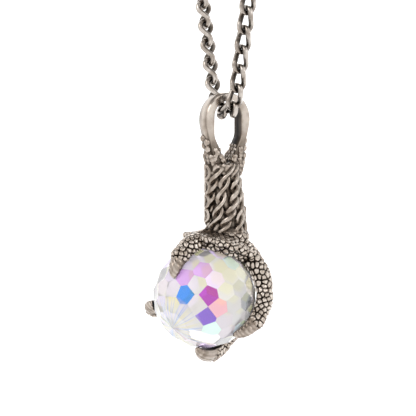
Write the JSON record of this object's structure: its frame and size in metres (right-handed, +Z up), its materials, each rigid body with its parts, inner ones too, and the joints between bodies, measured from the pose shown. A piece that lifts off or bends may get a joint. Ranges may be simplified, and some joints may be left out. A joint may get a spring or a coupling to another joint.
{
  "type": "crystal ball claw pendant necklace",
  "caption": "Dragon's claw pendant gripping a faceted crystal ball, hung by its bail on a twisted curb chain closed by a lobster clasp.",
  "frame": {"origin": "the middle of the clasp, where the loop hangs from", "axes": "+Z up, -Y the front that the ball faces, +X towards the strand that the clasp's hook holds"},
  "size_m": [0.0204, 0.0175, 0.0633],
  "materials": {
    "crystal": "faceted clear glass with an iridescent coating",
    "cement": "clear setting cement",
    "antiqued_silver": "cast, polished on the high places and blackened in the grooves",
    "chain_metal": "polished wire",
    "clasp_metal": "polished",
    "pin_steel": "drawn wire",
    "spring_steel": "drawn wire"
  },
  "bodies": {
    "clasp": {"clasp_body": "clasp_metal", "clasp_pin": "pin_steel", "clasp_spring": "spring_steel"},
    "lever": {"clasp_lever": "clasp_metal"},
    "ring_left": {"jump_ring_left": "chain_metal"},
    "ring_right": {"jump_ring_right": "chain_metal"},
    "pendant": {"crystal_ball": "crystal", "ball_cement": "cement", "claw_bail": "antiqued_silver", "claw_neck": "antiqued_silver", "claw_palm": "antiqued_silver", "claw_toe_top": "antiqued_silver", "claw_toe_right": "antiqued_silver", "claw_toe_bottom": "antiqued_silver", "claw_toe_left": "antiqued_silver"},
    "saddle_left": {"saddle_left": "chain_metal"},
    "saddle_right": {"saddle_right": "chain_metal"},
    "left_1": {"link_left_1": "chain_metal"},
    "right_1": {"link_right_1": "chain_metal"},
    "left_2": {"link_left_2": "chain_metal"},
    "right_2": {"link_right_2": "chain_metal"},
    "left_3": {"link_left_3": "chain_metal"},
    "right_3": {"link_right_3": "chain_metal"},
    "left_4": {"link_left_4": "chain_metal"},
    "right_4": {"link_right_4": "chain_metal"},
    "left_5": {"link_left_5": "chain_metal"},
    "right_5": {"link_right_5": "chain_metal"},
    "left_6": {"link_left_6": "chain_metal"},
    "right_6": {"link_right_6": "chain_metal"}
  },
  "joints": [
    {"name": "ring_left_swing", "type": "hinge", "parent": "clasp", "child": "ring_left", "pos_m": [0, 0, -0.00063], "axis": [1, 0, 0], "range_deg": [-25, 25]},
    {"name": "ring_right_swing", "type": "hinge", "parent": "clasp", "child": "ring_right", "pos_m": [0, 0, -0.00063], "axis": [1, 0, 0], "range_deg": [-25, 25]},
    {"name": "left_6_swing", "type": "hinge", "parent": "ring_left", "child": "left_6", "pos_m": [0, 0, -0.00375], "axis": [1, 0, 0], "range_deg": [-10, 10]},
    {"name": "right_6_swing", "type": "hinge", "parent": "ring_right", "child": "right_6", "pos_m": [0, 0, -0.00375], "axis": [1, 0, 0], "range_deg": [-10, 10]},
    {"name": "left_5_swing", "type": "hinge", "parent": "left_6", "child": "left_5", "pos_m": [0, 0, -0.00653], "axis": [1, 0, 0], "range_deg": [-10, 10]},
    {"name": "right_5_swing", "type": "hinge", "parent": "right_6", "child": "right_5", "pos_m": [0, 0, -0.00653], "axis": [1, 0, 0], "range_deg": [-10, 10]},
    {"name": "left_4_swing", "type": "hinge", "parent": "left_5", "child": "left_4", "pos_m": [0, 0, -0.0093], "axis": [1, 0, 0], "range_deg": [-10, 10]},
    {"name": "right_4_swing", "type": "hinge", "parent": "right_5", "child": "right_4", "pos_m": [0, 0, -0.0093], "axis": [1, 0, 0], "range_deg": [-10, 10]},
    {"name": "left_3_swing", "type": "hinge", "parent": "left_4", "child": "left_3", "pos_m": [0, 0, -0.01207], "axis": [1, 0, 0], "range_deg": [-10, 10]},
    {"name": "right_3_swing", "type": "hinge", "parent": "right_4", "child": "right_3", "pos_m": [0, 0, -0.01207], "axis": [1, 0, 0], "range_deg": [-10, 10]},
    {"name": "left_2_swing", "type": "hinge", "parent": "left_3", "child": "left_2", "pos_m": [0, 0, -0.01484], "axis": [1, 0, 0], "range_deg": [-10, 10]},
    {"name": "right_2_swing", "type": "hinge", "parent": "right_3", "child": "right_2", "pos_m": [0, 0, -0.01484], "axis": [1, 0, 0], "range_deg": [-10, 10]},
    {"name": "left_1_swing", "type": "hinge", "parent": "left_2", "child": "left_1", "pos_m": [0, 0, -0.01762], "axis": [1, 0, 0], "range_deg": [-10, 10]},
    {"name": "right_1_swing", "type": "hinge", "parent": "right_2", "child": "right_1", "pos_m": [0, 0, -0.01762], "axis": [1, 0, 0], "range_deg": [-10, 10]},
    {"name": "saddle_left_swing", "type": "hinge", "parent": "left_1", "child": "saddle_left", "pos_m": [0, 0, -0.02039], "axis": [1, 0, 0], "range_deg": [-10, 10]},
    {"name": "saddle_right_swing", "type": "hinge", "parent": "right_1", "child": "saddle_right", "pos_m": [0, 0, -0.02039], "axis": [1, 0, 0], "range_deg": [-10, 10]},
    {"name": "pendant_swing", "type": "hinge", "parent": "saddle_left", "child": "pendant", "pos_m": [0, -0.0005, -0.02047], "axis": [1, 0, 0], "range_deg": [-15, 15]},
    {"name": "lever_hinge", "type": "hinge", "parent": "clasp", "child": "lever", "pos_m": [0.00393, 0, 0.00272], "axis": [0, 1, 0], "range_deg": [0, 18], "stiffness_Nm_per_rad": 0.0002, "springref_deg": -11.46, "deforming": ["clasp_spring"]}
  ],
  "couplings": [
    {"joint": "ring_right_swing", "follows": "ring_left_swing", "ratio": 1},
    {"joint": "right_6_swing", "follows": "left_6_swing", "ratio": 1},
    {"joint": "right_5_swing", "follows": "left_5_swing", "ratio": 1},
    {"joint": "right_4_swing", "follows": "left_4_swing", "ratio": 1},
    {"joint": "right_3_swing", "follows": "left_3_swing", "ratio": 1},
    {"joint": "right_2_swing", "follows": "left_2_swing", "ratio": 1},
    {"joint": "right_1_swing", "follows": "left_1_swing", "ratio": 1},
    {"joint": "saddle_right_swing", "follows": "saddle_left_swing", "ratio": 1}
  ]
}
